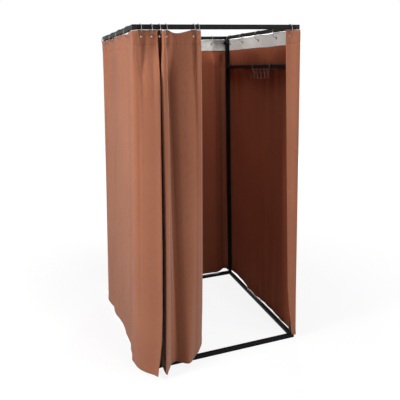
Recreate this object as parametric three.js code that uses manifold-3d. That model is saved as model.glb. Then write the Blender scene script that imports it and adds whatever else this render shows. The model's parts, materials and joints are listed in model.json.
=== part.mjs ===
// Portable fitting room: a square-tube frame with four ringed curtains, a hanging bar and a hook rack.
// Millimetres, +Z up, doorway towards -Y. Built from the frame's front left corner on the floor.
import * as THREE from 'three';
import { RoundedBoxGeometry } from 'three/addons/geometries/RoundedBoxGeometry.js';
import { mergeVertices } from 'three/addons/utils/BufferGeometryUtils.js';
import Module from 'manifold-3d';

const wasm = await Module();
wasm.setup();
const { lerp } = THREE.MathUtils;

// Frame
const ROOM_WIDTH = 980;
const ROOM_DEPTH = 1090;
const ROOM_HEIGHT = 2000;
const TUBE = 25;
const TUBE_WALL = 1.5;
const TUBE_ROUND = 3;
const FIT_GAP = 0.3;
const CUT_OVERRUN = 5;
const WELD = 0.0001;

// Corner connectors
const SPIGOT_LENGTH = 42;
const SPIGOT_WALL = 3;
const SPIGOT_ROUND = 2;

// Knobs that lock the posts
const KNOB_FROM_END = 52;
const KNOB_RADIUS = 9;
const KNOB_FLUTE = 1.2;
const KNOB_LOBES = 5;
const KNOB_POINTS_A_LOBE = 3;
const KNOB_THICKNESS = 11;
const KNOB_COLLAR_RADIUS = 6;
const KNOB_COLLAR_LENGTH = 4;
const KNOB_SHANK_RADIUS = 3;
const KNOB_SHANK_REACH = 9;

// Hanging bar
const BAR_BELOW_TOP = 234;
const PLUG_FLANGE = 3;
const PLUG_LENGTH = 30;

// Hook rack on the bar, in wire
const RACK_PLACE = 455;
const RACK_WIRE_RADIUS = 2;
const RACK_WELD_STEP = 3;
const RACK_WIRE_END = 5;
const RACK_SPAN = 256;
const RACK_TAIL = 20;
const RACK_UPPER_DROP = 17;
const RACK_LOWER_DROP = 44;
const RACK_SLANT = 24;
const RACK_HOOKS = 5;
const RACK_HOOK_PITCH = 54;
const RACK_HOOK_INSET = 4;
const RACK_HOOK_REACH = 26;
const RACK_HOOK_DROP = 66;
const RACK_HOOK_DEPTH = 12;
const RACK_HOOK_BEND = 10;
const RACK_BALL_RADIUS = 4.5;
const RACK_BEND = 5;

// Curtain rings and eyelets
const RING_INNER_RADIUS = 30;
const RING_WIRE_RADIUS = 1.5;
const RING_STEPS = 14;
const RING_SIDES = 6;
const EYELET_HOLE_RADIUS = 6;
const EYELET_RADIUS = 9.5;
const EYELET_THICKNESS = 4;
const ROUND_SIDES = 10;

// Cloth
const CLOTH_THICKNESS = 2;
const CLOTH_TOP_GAP = 4;
const HEM_HEIGHT = 30;
const TAPE_HEIGHT = 81;
const TAPE_THICKNESS = 1;
const EYELET_FLAT = 9.5;
const POST_CLEARANCE = 4.5;
const WALL_WAVE = 9;
const WAVE_FULL_PITCH = 250;

// How far each hem swings out past the frame's outer faces
const LEFT_FLARE = 99;
const FRONT_FLARE = 117;
const RIGHT_FLARE = 28;
const BACK_FLARE = 24;
const FRONT_HEM_REACH = 391;

// How far a header hangs down between two rings, as a share of the way between them
const LEFT_SAG_SHARE = 0.06;
const FRONT_SAG_SHARE = 0.11;
const TAUT_SAG_SHARE = 0.016;

// Ring places, each measured along its own rail from the frame's front or left face
const WALL_RING_INSET = 80;
const LEFT_RING_SHARES = [1, 0.891, 0.6436, 0.396, 0.1485];
const LEFT_WRAP_PLACES = [46, 103];
const FRONT_RING_PLACES = [147, 183, 336, 361];
const RIGHT_RING_SHARES = [1, 0.7653, 0.5099, 0.2554];
const RIGHT_WRAP_INSET = 58;
const BACK_RING_INSETS = [66, 143];
const BACK_RING_SHARES = [0, 1 / 3, 2 / 3, 1];

// Lines that follow from the sizes above
const HALF_TUBE = TUBE / 2;
const SPIGOT_SIDE = TUBE - 2 * TUBE_WALL - 2 * FIT_GAP;
const LEFT_LINE = HALF_TUBE;
const FRONT_LINE = HALF_TUBE;
const RIGHT_LINE = ROOM_WIDTH - HALF_TUBE;
const BACK_LINE = ROOM_DEPTH - HALF_TUBE;
const TOP_LINE = ROOM_HEIGHT - HALF_TUBE;
const RAIL_UNDERSIDE = ROOM_HEIGHT - TUBE;
const BAR_LINE = ROOM_HEIGHT - BAR_BELOW_TOP;
const CLOTH_TOP = RAIL_UNDERSIDE - CLOTH_TOP_GAP;
const TAPE_BOTTOM = CLOTH_TOP - TAPE_HEIGHT;
const RING_RADIUS = RING_INNER_RADIUS + RING_WIRE_RADIUS;
const RING_APOTHEM = RING_INNER_RADIUS * Math.cos(Math.PI / RING_STEPS);
const RING_CENTRE = ROOM_HEIGHT - TUBE_ROUND - ringRise();
const RING_WIRE_TOP = RING_CENTRE - RING_APOTHEM;
const EYELET_APOTHEM = EYELET_HOLE_RADIUS * Math.cos(Math.PI / ROUND_SIDES);
const EYELET_CENTRE = RING_WIRE_TOP + FIT_GAP - EYELET_APOTHEM;

const [BACK_RING_START, BACK_RING_STOP] = [BACK_RING_INSETS[0], ROOM_WIDTH - BACK_RING_INSETS[1]];
const LEFT_RING_PLACES = LEFT_RING_SHARES.map((share) => (ROOM_DEPTH - WALL_RING_INSET) * share);
const RIGHT_RING_PLACES = RIGHT_RING_SHARES.map((share) => (ROOM_DEPTH - WALL_RING_INSET) * share);
const RIGHT_WRAP_PLACE = ROOM_WIDTH - RIGHT_WRAP_INSET;
const BACK_RING_PLACES = BACK_RING_SHARES.map((share) => lerp(BACK_RING_START, BACK_RING_STOP, share));

const RACK_REACH = HALF_TUBE + FIT_GAP + RACK_WIRE_RADIUS;
const BAR_PASS = CLOTH_THICKNESS + FIT_GAP;
const BAR_OUTSIDE = RIGHT_LINE + RACK_REACH + RACK_WIRE_RADIUS + BAR_PASS;
const BAR_ROWS = [BAR_LINE + RACK_REACH + RACK_WIRE_RADIUS + BAR_PASS, BAR_LINE - RACK_TAIL - BAR_PASS];

// How far the centres of a rail's rounded top corners lie above the centre of a ring that hangs on them:
// each flat of the ring clears both corners by the fit gap
function ringRise() {
  const reach = RING_APOTHEM - TUBE_ROUND - FIT_GAP;
  const corner = HALF_TUBE - TUBE_ROUND;
  const rises = [];
  for (let turn = 0; turn < Math.PI / 2; turn += (2 * Math.PI) / RING_STEPS) {
    rises.push((reach - corner * Math.sin(turn)) / Math.cos(turn));
  }
  return Math.min(...rises);
}

const X_AXIS = new THREE.Vector3(1, 0, 0);
const Y_AXIS = new THREE.Vector3(0, 1, 0);
const Z_AXIS = new THREE.Vector3(0, 0, 1);
const QUARTER_TURN = Math.PI / 2;
const MIDWAY = 0.5;

// Materials
const finish = (color, roughness, metalness) => () => (
  new THREE.MeshStandardMaterial({ color, roughness, metalness })
);
const blackPaint = finish(0x161616, 0.45, 0.6);
const blackPlastic = finish(0x0d0d0d, 0.4, 0.0);
const chrome = finish(0xb9bcc0, 0.2, 1.0);
const outerCloth = finish(0xa86f58, 0.9, 0.0);
const whiteTape = finish(0xd8d8d4, 0.85, 0.0);

const room = new THREE.Group();

function add(name, geometry, material) {
  const mesh = new THREE.Mesh(geometry, material());
  mesh.name = name;
  room.add(mesh);
  return mesh;
}

// Solids: joining and cutting
function solidFrom(geometry) {
  const bare = geometry.clone();
  bare.deleteAttribute('normal');
  bare.deleteAttribute('uv');
  const welded = mergeVertices(bare, WELD);
  const mesh = new wasm.Mesh({
    numProp: 3,
    vertProperties: Float32Array.from(welded.attributes.position.array),
    triVerts: Uint32Array.from(welded.index.array),
  });
  return new wasm.Manifold(mesh);
}

function geometryFrom(solid) {
  const mesh = solid.getMesh();
  const geometry = new THREE.BufferGeometry();
  geometry.setAttribute('position', new THREE.BufferAttribute(mesh.vertProperties, 3));
  geometry.setIndex(new THREE.BufferAttribute(mesh.triVerts, 1));
  geometry.computeVertexNormals();
  return geometry;
}

const joined = (solids) => solids.reduce((whole, piece) => whole.add(piece));
const cutBy = (solid, cutters) => cutters.reduce((rest, cutter) => rest.subtract(cutter), solid);

// A bar of the given radius and length, centred on a point and lying along an axis
function pinSolid(radius, length, sides, centre, axis) {
  const pin = new THREE.CylinderGeometry(radius, radius, length, sides);
  pin.applyQuaternion(new THREE.Quaternion().setFromUnitVectors(Y_AXIS, axis));
  pin.translate(centre.x, centre.y, centre.z);
  return solidFrom(pin);
}

// Square sections
function roundedSquare(path, side, round) {
  const half = side / 2;
  const inner = half - round;
  path.absarc(inner, inner, round, 0, QUARTER_TURN, false);
  path.absarc(-inner, inner, round, QUARTER_TURN, Math.PI, false);
  path.absarc(-inner, -inner, round, Math.PI, 3 * QUARTER_TURN, false);
  path.absarc(inner, -inner, round, 3 * QUARTER_TURN, 4 * QUARTER_TURN, false);
  return path;
}

function squareHole(side) {
  const half = side / 2;
  const corners = [[-half, -half], [-half, half], [half, half], [half, -half]];
  return new THREE.Path(corners.map(([x, y]) => new THREE.Vector2(x, y)));
}

function tubeGeometry(side, wall, round, length, roundSegments) {
  const section = roundedSquare(new THREE.Shape(), side, round);
  section.holes.push(squareHole(side - 2 * wall));
  const options = { depth: length, bevelEnabled: false, curveSegments: roundSegments };
  return new THREE.ExtrudeGeometry(section, options);
}

const frameTube = (length) => tubeGeometry(TUBE, TUBE_WALL, TUBE_ROUND, length, 2);
const spigotTube = (length) => tubeGeometry(SPIGOT_SIDE, SPIGOT_WALL, SPIGOT_ROUND, length, 1);

// Stands a length made along +Z at a start point, along the given axis
function layAlong(geometry, axis, start) {
  geometry.applyQuaternion(new THREE.Quaternion().setFromUnitVectors(Z_AXIS, axis));
  geometry.translate(start.x, start.y, start.z);
  return geometry;
}

// Frame tubes
const sides = [
  { name: 'left', line: LEFT_LINE, inward: 1 },
  { name: 'right', line: RIGHT_LINE, inward: -1 },
];
const ends = [
  { name: 'front', line: FRONT_LINE, inward: 1 },
  { name: 'back', line: BACK_LINE, inward: -1 },
];
const levels = [
  { name: 'bottom', line: HALF_TUBE, inward: 1 },
  { name: 'top', line: TOP_LINE, inward: -1 },
];

function knobHeight(level) {
  return level.line + level.inward * (KNOB_FROM_END - HALF_TUBE);
}

// Front posts carry their knobs on the face along the room, back posts on the face across it
function knobAxis(end, side) {
  const axis = end.name === 'front' ? Y_AXIS : X_AXIS;
  return axis.clone().multiplyScalar(end.name === 'front' ? end.inward : side.inward);
}

function knobHoles(end, side) {
  const radius = KNOB_SHANK_RADIUS + FIT_GAP;
  const reach = HALF_TUBE + CUT_OVERRUN;
  const axis = knobAxis(end, side);
  return levels.map((level) => {
    const centre = new THREE.Vector3(side.line, end.line, knobHeight(level)).addScaledVector(axis, reach / 2);
    return pinSolid(radius, reach, ROUND_SIDES, centre, axis);
  });
}

const tubeStart = TUBE + FIT_GAP;
for (const end of ends) {
  for (const side of sides) {
    const length = ROOM_HEIGHT - 2 * tubeStart;
    const tube = frameTube(length);
    layAlong(tube, Z_AXIS, new THREE.Vector3(side.line, end.line, tubeStart));
    const post = cutBy(solidFrom(tube), knobHoles(end, side));
    add(`post_${end.name}_${side.name}`, geometryFrom(post), blackPaint);
  }
}

for (const level of levels) {
  for (const end of ends) {
    const tube = frameTube(ROOM_WIDTH - 2 * tubeStart);
    layAlong(tube, X_AXIS, new THREE.Vector3(tubeStart, end.line, level.line));
    add(`${level.name}_rail_${end.name}`, tube, blackPaint);
  }
  for (const side of sides) {
    const tube = frameTube(ROOM_DEPTH - 2 * tubeStart);
    layAlong(tube, Y_AXIS, new THREE.Vector3(side.line, tubeStart, level.line));
    add(`${level.name}_rail_${side.name}`, tube, blackPaint);
  }
}

// Corner connectors: a moulded cube with a hollow spigot into each of its three tubes
function spigotSolid(axis, centre) {
  const spigot = spigotTube(HALF_TUBE + SPIGOT_LENGTH);
  return solidFrom(layAlong(spigot, axis, centre));
}

for (const level of levels) {
  for (const end of ends) {
    for (const side of sides) {
      const centre = new THREE.Vector3(side.line, end.line, level.line);
      const cube = new RoundedBoxGeometry(TUBE, TUBE, TUBE, 1, TUBE_ROUND);
      cube.translate(centre.x, centre.y, centre.z);
      const spigots = [
        spigotSolid(X_AXIS.clone().multiplyScalar(side.inward), centre),
        spigotSolid(Y_AXIS.clone().multiplyScalar(end.inward), centre),
        spigotSolid(Z_AXIS.clone().multiplyScalar(level.inward), centre),
      ];
      const whole = joined([solidFrom(cube), ...spigots]);
      const bored = cutBy(whole, knobHoles(end, side));
      add(`corner_${level.name}_${end.name}_${side.name}`, geometryFrom(bored), blackPlastic);
    }
  }
}

// Knobs, drawn along +Z from the post's face outwards
function knobSolid() {
  const grip = new THREE.Shape();
  const points = KNOB_LOBES * KNOB_POINTS_A_LOBE;
  for (let i = 0; i < points; i += 1) {
    const angle = (2 * Math.PI * i) / points;
    const radius = KNOB_RADIUS - KNOB_FLUTE / 2 + (KNOB_FLUTE / 2) * Math.cos(KNOB_LOBES * angle);
    const place = new THREE.Vector2(radius * Math.cos(angle), radius * Math.sin(angle));
    if (i === 0) grip.moveTo(place.x, place.y);
    else grip.lineTo(place.x, place.y);
  }
  const head = new THREE.ExtrudeGeometry(grip, { depth: KNOB_THICKNESS, bevelEnabled: false });
  head.translate(0, 0, FIT_GAP + KNOB_COLLAR_LENGTH);
  const collarCentre = new THREE.Vector3(0, 0, FIT_GAP + KNOB_COLLAR_LENGTH);
  const collar = pinSolid(KNOB_COLLAR_RADIUS, 2 * KNOB_COLLAR_LENGTH, ROUND_SIDES, collarCentre, Z_AXIS);
  const shankLength = KNOB_SHANK_REACH + KNOB_COLLAR_LENGTH;
  const shankCentre = new THREE.Vector3(0, 0, KNOB_COLLAR_LENGTH - shankLength / 2);
  const shank = pinSolid(KNOB_SHANK_RADIUS, shankLength, ROUND_SIDES, shankCentre, Z_AXIS);
  return joined([solidFrom(head), collar, shank]);
}

const knob = geometryFrom(knobSolid());
for (const level of levels) {
  for (const end of ends) {
    for (const side of sides) {
      const axis = knobAxis(end, side);
      const face = new THREE.Vector3(side.line, end.line, knobHeight(level)).addScaledVector(axis, HALF_TUBE);
      add(`knob_${level.name}_${end.name}_${side.name}`, layAlong(knob.clone(), axis, face), blackPlastic);
    }
  }
}

// Hanging bar between the two right posts, on a plug at each end
const barStart = TUBE + PLUG_FLANGE + 2 * FIT_GAP;
const bar = frameTube(ROOM_DEPTH - 2 * barStart);
add('hanging_bar', layAlong(bar, Y_AXIS, new THREE.Vector3(RIGHT_LINE, barStart, BAR_LINE)), blackPaint);

function plugSolid() {
  const flangeShape = roundedSquare(new THREE.Shape(), TUBE, TUBE_ROUND);
  const options = { depth: PLUG_FLANGE, bevelEnabled: false, curveSegments: 2 };
  const flange = new THREE.ExtrudeGeometry(flangeShape, options);
  const body = spigotTube(PLUG_LENGTH + PLUG_FLANGE / 2);
  body.translate(0, 0, PLUG_FLANGE / 2);
  return joined([solidFrom(flange), solidFrom(body)]);
}

for (const end of ends) {
  const face = new THREE.Vector3(RIGHT_LINE, end.line + end.inward * (HALF_TUBE + FIT_GAP), BAR_LINE);
  const plug = layAlong(geometryFrom(plugSolid()), Y_AXIS.clone().multiplyScalar(end.inward), face);
  add(`bar_plug_${end.name}`, plug, blackPlastic);
}

// Hook rack: wire bent over the bar, two cross wires and a row of ball-tipped hooks
// A bent wire's line: straight runs through the corners given, each corner rounded through three stops
class BentLine extends THREE.Curve {
  constructor(corners, bend) {
    super();
    this.stops = corners.flatMap((corner, index) => {
      if (index === 0 || index === corners.length - 1) return [corner];
      const shareTo = (other) => Math.min(bend / corner.distanceTo(other), MIDWAY);
      const towards = (other) => corner.clone().lerp(other, shareTo(other));
      const [before, after] = [towards(corners[index - 1]), towards(corners[index + 1])];
      const middle = before.clone().lerp(after, MIDWAY).lerp(corner, MIDWAY);
      return [before, middle, after];
    });
  }

  getPoint(t, target = new THREE.Vector3()) {
    const place = t * (this.stops.length - 1);
    const index = Math.min(Math.floor(place), this.stops.length - 2);
    return target.lerpVectors(this.stops[index], this.stops[index + 1], place - index);
  }

  getPointAt(u, target) {
    return this.getPoint(u, target);
  }

  getTangentAt(u, target = new THREE.Vector3()) {
    const step = MIDWAY / (this.stops.length - 1);
    const ahead = this.getPoint(Math.min(u + step, 1));
    return target.copy(ahead).sub(this.getPoint(Math.max(u - step, 0))).normalize();
  }
}

function wireSolid(corners, bend = RACK_BEND) {
  const section = new THREE.Shape();
  section.absarc(0, 0, RACK_WIRE_RADIUS, 0, 2 * Math.PI, false);
  const line = new BentLine(corners, bend);
  const options = { steps: line.stops.length - 1, bevelEnabled: false, extrudePath: line, curveSegments: 3 };
  return solidFrom(new THREE.ExtrudeGeometry(section, options));
}

function rackSolid() {
  const reach = RACK_REACH;
  const half = RACK_SPAN / 2;
  const lower = half - RACK_SLANT;
  const upperLine = -reach - 2 * RACK_WELD_STEP;
  const hookLine = -RACK_HOOK_INSET - 2 * RACK_WELD_STEP;
  const at = (x, y, z) => new THREE.Vector3(x, y, z);
  const pieces = [];
  for (const hand of [-1, 1]) {
    pieces.push(wireSolid([
      at(reach, hand * half, -RACK_TAIL),
      at(reach, hand * half, reach),
      at(-reach, hand * half, reach),
      at(-reach, hand * half, -RACK_UPPER_DROP),
      at(-RACK_HOOK_INSET, hand * lower, -RACK_LOWER_DROP),
      at(-RACK_HOOK_INSET, hand * lower, -RACK_LOWER_DROP - RACK_WIRE_END),
    ]));
  }
  const crossWires = [[-reach, RACK_UPPER_DROP, half], [-RACK_HOOK_INSET, RACK_LOWER_DROP, lower]];
  for (const [line, drop, span] of crossWires) {
    const [across, end] = [line - RACK_WELD_STEP, span + RACK_WIRE_END];
    pieces.push(wireSolid([at(across, -end, -drop), at(across, end, -drop)]));
  }
  for (let i = 0; i < RACK_HOOKS; i += 1) {
    const y = (i - (RACK_HOOKS - 1) / 2) * RACK_HOOK_PITCH;
    const front = hookLine - RACK_HOOK_REACH;
    const tip = at(front, y, -RACK_HOOK_DROP + RACK_BALL_RADIUS);
    pieces.push(wireSolid([
      at(upperLine, y, -RACK_UPPER_DROP),
      at(hookLine, y, -RACK_LOWER_DROP),
      at(hookLine, y, -RACK_HOOK_DROP - RACK_HOOK_DEPTH),
      at(front, y, -RACK_HOOK_DROP - RACK_HOOK_DEPTH),
      tip,
    ], RACK_HOOK_BEND));
    const ball = new THREE.SphereGeometry(RACK_BALL_RADIUS, 6, 5);
    ball.translate(tip.x, tip.y, tip.z);
    pieces.push(solidFrom(ball));
  }
  return joined(pieces);
}

const rack = geometryFrom(rackSolid());
rack.translate(RIGHT_LINE, RACK_PLACE, BAR_LINE);
add('hook_rack', rack, chrome);

// Curtain plans
// A station is one upright line of a curtain: where it hangs at the header and where it ends at the hem
const plan = (x, y) => new THREE.Vector2(x, y);
const station = (top, hem, ring = null) => ({ top, hem, ring });

// Reads a table of [place share, size share] rows, easing from one row to the next
function readShares(table, place) {
  const row = table.findIndex((entry) => entry[0] >= place);
  if (row < 1) return row === 0 ? table[0][1] : table[table.length - 1][1];
  const [before, after] = [table[row - 1], table[row]];
  const part = (place - before[0]) / (after[0] - before[0]);
  return before[1] + (after[1] - before[1]) * part * part * (3 - 2 * part);
}

// Where a wave's two stations stand between one ring and the next
const WAVE_SHARES = [0.3, 0.7];

// Stations along one straight rail: flat at each ring, with a shallow wave between rings
function railStations(places, toTop, toHem) {
  const stations = [];
  places.forEach((place, index) => {
    const step = Math.sign(places[places.length - 1] - places[0]);
    stations.push(station(toTop(place - step * EYELET_FLAT, 0), toHem(place - step * EYELET_FLAT)));
    stations.push(station(toTop(place, 0), toHem(place), place));
    stations.push(station(toTop(place + step * EYELET_FLAT, 0), toHem(place + step * EYELET_FLAT)));
    if (index === places.length - 1) return;
    const next = places[index + 1];
    const wave = WALL_WAVE * Math.min(Math.abs(next - place) / WAVE_FULL_PITCH, 1);
    const hand = index % 2 === 0 ? 1 : -1;
    for (const share of WAVE_SHARES) {
      const between = place + (next - place) * share;
      stations.push(station(toTop(between, hand * wave), toHem(between)));
    }
  });
  return stations;
}

// Hems of the straight walls: [share of the wall's length, share of its flare]
const LEFT_HEM_SHARES = [
  [0.09, 0.84], [0.19, 0.72], [0.3, 0.61], [0.42, 0.63], [0.55, 0.72], [0.69, 0.88], [0.85, 1.0],
  [0.99, 0.85],
];
const RIGHT_HEM_SHARES = [
  [0.06, 0.85], [0.12, 0.9], [0.33, 0.45], [0.44, 0.93], [0.58, 0.9], [0.725, -0.25], [0.83, 0.25],
  [0.93, -0.3], [1.0, 0.3],
];
const BACK_HEM_SHARES = [
  [0.0, 0.7], [0.14, 0.1], [0.3, 0.8], [0.45, -0.2], [0.62, 0.6], [0.75, -0.3], [0.86, 0.45],
  [0.96, 0.95], [1.0, 0.85],
];

const leftTop = (y, wave) => plan(LEFT_LINE - wave, y);
const leftHem = (y) => plan(-LEFT_FLARE * readShares(LEFT_HEM_SHARES, y / ROOM_DEPTH), y);
const rightTop = (y, wave) => plan(RIGHT_LINE + wave, y);
const rightHem = (y) => plan(ROOM_WIDTH + RIGHT_FLARE * readShares(RIGHT_HEM_SHARES, y / ROOM_DEPTH), y);
const backTop = (x, wave) => plan(x, BACK_LINE + wave);
const backHem = (x) => plan(x, ROOM_DEPTH + BACK_FLARE * readShares(BACK_HEM_SHARES, x / ROOM_WIDTH));

const outLeft = -POST_CLEARANCE;
const outFront = -POST_CLEARANCE;
const outRight = ROOM_WIDTH + POST_CLEARANCE;
const outBack = ROOM_DEPTH + POST_CLEARANCE;

// Left curtain: from the back left post, along the left rail and round the front left post to a free edge
// Hems of the wrap: [share of the left flare, share of the front flare]
const LEFT_WRAP_HEM_SHARES = [
  [0.84, -0.83], [0.82, -0.5], [0.76, -0.25], [0.69, -0.05], [0.54, 0.22], [0.32, 0.46], [0.14, 0.62],
  [0.04, 0.7], [-0.03, 0.78], [-0.1, 0.87], [-0.19, 1], [-0.28, 0.9], [-0.36, 0.76], [-0.42, 0.62],
  [-0.48, 0.5], [-0.54, 0.37], [-0.58, 0.24],
];

function leftStations() {
  const [wrap, last] = LEFT_WRAP_PLACES;
  const around = [
    [plan(LEFT_LINE / 2, 3 * TUBE)],
    [plan(outLeft / 2, 2 * TUBE)],
    [plan(outLeft, TUBE)],
    [plan(outLeft, HALF_TUBE)],
    [plan(outLeft / 2, outFront / 2)],
    [plan(HALF_TUBE, outFront)],
    [plan(TUBE - outFront / 2, outFront / 2)],
    [plan(wrap - EYELET_FLAT, FRONT_LINE)],
    [plan(wrap, FRONT_LINE), wrap],
    [plan(wrap + EYELET_FLAT, FRONT_LINE)],
    [plan((wrap + last) / 2, FRONT_LINE - POST_CLEARANCE)],
    [plan(last - EYELET_FLAT, FRONT_LINE)],
    [plan(last, FRONT_LINE), last],
    [plan(last + EYELET_FLAT, FRONT_LINE)],
    [plan(last + TUBE, FRONT_LINE - POST_CLEARANCE / 2)],
    [plan(last + TUBE + HALF_TUBE / 2, HALF_TUBE / 2)],
    [plan(last + TUBE + HALF_TUBE, POST_CLEARANCE / 2)],
  ];
  return [
    station(plan(outLeft, ROOM_DEPTH - HALF_TUBE / 2), leftHem(ROOM_DEPTH)),
    station(plan(outLeft, ROOM_DEPTH - TUBE), leftHem(ROOM_DEPTH - TUBE)),
    station(plan(0, ROOM_DEPTH - 2 * TUBE), leftHem(ROOM_DEPTH - 2 * TUBE)),
    ...railStations(LEFT_RING_PLACES, leftTop, leftHem),
    ...around.map(([top, ring = null], index) => {
      const [across, along] = LEFT_WRAP_HEM_SHARES[index];
      return station(top, plan(-LEFT_FLARE * across, -FRONT_FLARE * along), ring);
    }),
  ];
}

// Front curtain, drawn back: a pleat stands out at its left end, and at its right end the cloth doubles back
// on itself in a fold whose foot swings into the room
// The start edge: [back share, hem along share, hem out share]
const FRONT_EDGE_SHARES = [0.15, 0.12, -0.25];

// Rows between two rings: [share between the rings, out share, hem along share, hem out share]
const PLEAT_SHARES = [
  [0.34, 0.02, 0.178, 0.48], [0.3, 0.16, 0.178, 0.76], [0.5, 0.26, 0.19, 1],
  [0.7, 0.16, 0.225, 0.78], [0.66, 0.02, 0.275, 0.5],
];
const VALLEY_SHARES = [
  [0.19, -0.22, 0.425, 0.21], [0.33, -0.26, 0.475, 0.5], [0.5, -0.12, 0.52, 0.64], [0.68, 0.02, 0.555, 0.6],
  [0.83, -0.03, 0.58, 0.51],
];
const FOLD_SHARES = [
  [0.504, -0.043, 0.73, -0.02], [0.6, 0.051, 0.793, -0.239], [0.74, 0.145, 0.849, -0.513],
  [1.0, 0.209, 0.9, -0.752], [1.28, 0.154, 0.941, -0.983], [1.44, 0.06, 0.972, -1.256],
  [1.52, -0.026, 0.992, -1.521], [1.51, -0.077, 1.0, -1.658],
];

// Hems at the rings: [hem along share, hem out share] for the flat's start, the ring and the flat's end
const FRONT_RING_HEM_SHARES = [
  [[0.16, -0.2], [0.175, 0], [0.178, 0.25]],
  [[0.32, 0.22], [0.35, 0.14], [0.385, 0.09]],
  [[0.61, 0.43], [0.64, 0.33], [0.675, 0.2]],
  [[0.985, -1.709], [0.957, -1.59], [0.926, -1.419]],
];

function frontStations() {
  const hemAt = (along, out) => plan(FRONT_HEM_REACH * along, -FRONT_FLARE * out);
  const atRing = (index, hand) => [-1, 0, 1].map((step) => {
    const place = FRONT_RING_PLACES[index];
    const [along, out] = FRONT_RING_HEM_SHARES[index][step + 1];
    const top = plan(place + hand * step * EYELET_FLAT, FRONT_LINE);
    return station(top, hemAt(along, out), step === 0 ? place : null);
  });
  const between = (table, index) => table.map(([part, out, along, hemOut]) => {
    const [before, after] = [FRONT_RING_PLACES[index], FRONT_RING_PLACES[index + 1]];
    return station(plan(before + (after - before) * part, -FRONT_FLARE * out), hemAt(along, hemOut));
  });
  const [edgeBack, edgeAlong, edgeOut] = FRONT_EDGE_SHARES;
  const edge = plan(FRONT_RING_PLACES[0] - TUBE - POST_CLEARANCE, FRONT_LINE + FRONT_FLARE * edgeBack);
  return [
    station(edge, hemAt(edgeAlong, edgeOut)),
    ...atRing(0, 1),
    ...between(PLEAT_SHARES, 0),
    ...atRing(1, 1),
    ...between(VALLEY_SHARES, 1),
    ...atRing(2, 1),
    ...between(FOLD_SHARES, 2),
    ...atRing(3, -1),
  ];
}

// Right curtain: from the back right post, along the right rail, round the front right post
function rightStations() {
  const hemAt = (across, out) => plan(ROOM_WIDTH + RIGHT_FLARE * across, -FRONT_FLARE * out);
  const wrap = RIGHT_WRAP_PLACE;
  return [
    station(plan(outRight, ROOM_DEPTH - HALF_TUBE / 2), rightHem(ROOM_DEPTH)),
    station(plan(outRight, ROOM_DEPTH - TUBE), rightHem(ROOM_DEPTH - TUBE)),
    station(plan(ROOM_WIDTH, ROOM_DEPTH - 2 * TUBE), rightHem(ROOM_DEPTH - 2 * TUBE)),
    ...railStations(RIGHT_RING_PLACES, rightTop, rightHem),
    station(plan(ROOM_WIDTH - HALF_TUBE / 2, 3 * TUBE), rightHem(3 * TUBE)),
    station(plan(ROOM_WIDTH - outFront / 2, 2 * TUBE), rightHem(2 * TUBE)),
    station(plan(outRight, TUBE), hemAt(0.8, -0.2)),
    station(plan(outRight, HALF_TUBE), hemAt(0.65, -0.06)),
    station(plan(ROOM_WIDTH - outFront / 2, outFront / 2), hemAt(0.4, 0.1)),
    station(plan(RIGHT_LINE, outFront), hemAt(-0.1, 0.24)),
    station(plan(ROOM_WIDTH - TUBE, outFront / 2), hemAt(-0.8, 0.32)),
    station(plan(wrap + EYELET_FLAT, FRONT_LINE), hemAt(-1.25, 0.3)),
    station(plan(wrap, FRONT_LINE), hemAt(-1.5, 0.24), wrap),
    station(plan(wrap - EYELET_FLAT, FRONT_LINE), hemAt(-1.75, 0.14)),
    station(plan(wrap - TUBE, FRONT_LINE), hemAt(-1.9, 0.04)),
  ];
}

// Back curtain: behind both back posts and under the back rail between them
function backStations() {
  return [
    station(plan(HALF_TUBE / 2, outBack), backHem(0)),
    station(plan(TUBE, outBack), backHem(TUBE)),
    station(plan(2 * TUBE - POST_CLEARANCE, ROOM_DEPTH), backHem(2 * TUBE - POST_CLEARANCE)),
    ...railStations(BACK_RING_PLACES, backTop, backHem),
    station(plan(ROOM_WIDTH - 4 * TUBE, ROOM_DEPTH), backHem(ROOM_WIDTH - 4 * TUBE)),
    station(plan(ROOM_WIDTH - 2 * TUBE, outBack), backHem(ROOM_WIDTH - 2 * TUBE)),
    station(plan(ROOM_WIDTH - TUBE, outBack), backHem(ROOM_WIDTH - TUBE)),
    station(plan(ROOM_WIDTH - HALF_TUBE / 2, outBack), backHem(ROOM_WIDTH)),
  ];
}

// The cloth between its stations: u counts stations, and each row lies at one of the heights given
function clothSurface({ stations, drape, heights, sag, outside }) {
  const curve = (plans) => new THREE.CatmullRomCurve3(plans.map(({ x, y }) => new THREE.Vector3(x, y, 0)));
  const top = curve(stations.map((s) => s.top));
  const hem = curve(stations.map((s) => s.hem));
  const rings = stations.flatMap((s, index) => (s.ring === null ? [] : [index]));
  const last = stations.length - 1;
  const dip = (u) => {
    const before = rings.filter((r) => r <= u).pop();
    const after = rings.find((r) => r > u);
    if (before === undefined || after === undefined) return 0;
    const gap = stations[before].top.distanceTo(stations[after].top);
    return gap * sag * Math.sin((Math.PI * (u - before)) / (after - before)) ** 2;
  };
  return (u, row) => {
    const height = heights[row];
    const share = Math.max(TAPE_BOTTOM - height, 0) / (TAPE_BOTTOM - HEM_HEIGHT);
    const place = top.getPoint(u / last).lerp(hem.getPoint(u / last), share ** drape);
    place.z = row === 0 ? height - dip(u) : height;
    return outside ? outside(place) : place;
  };
}

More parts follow.
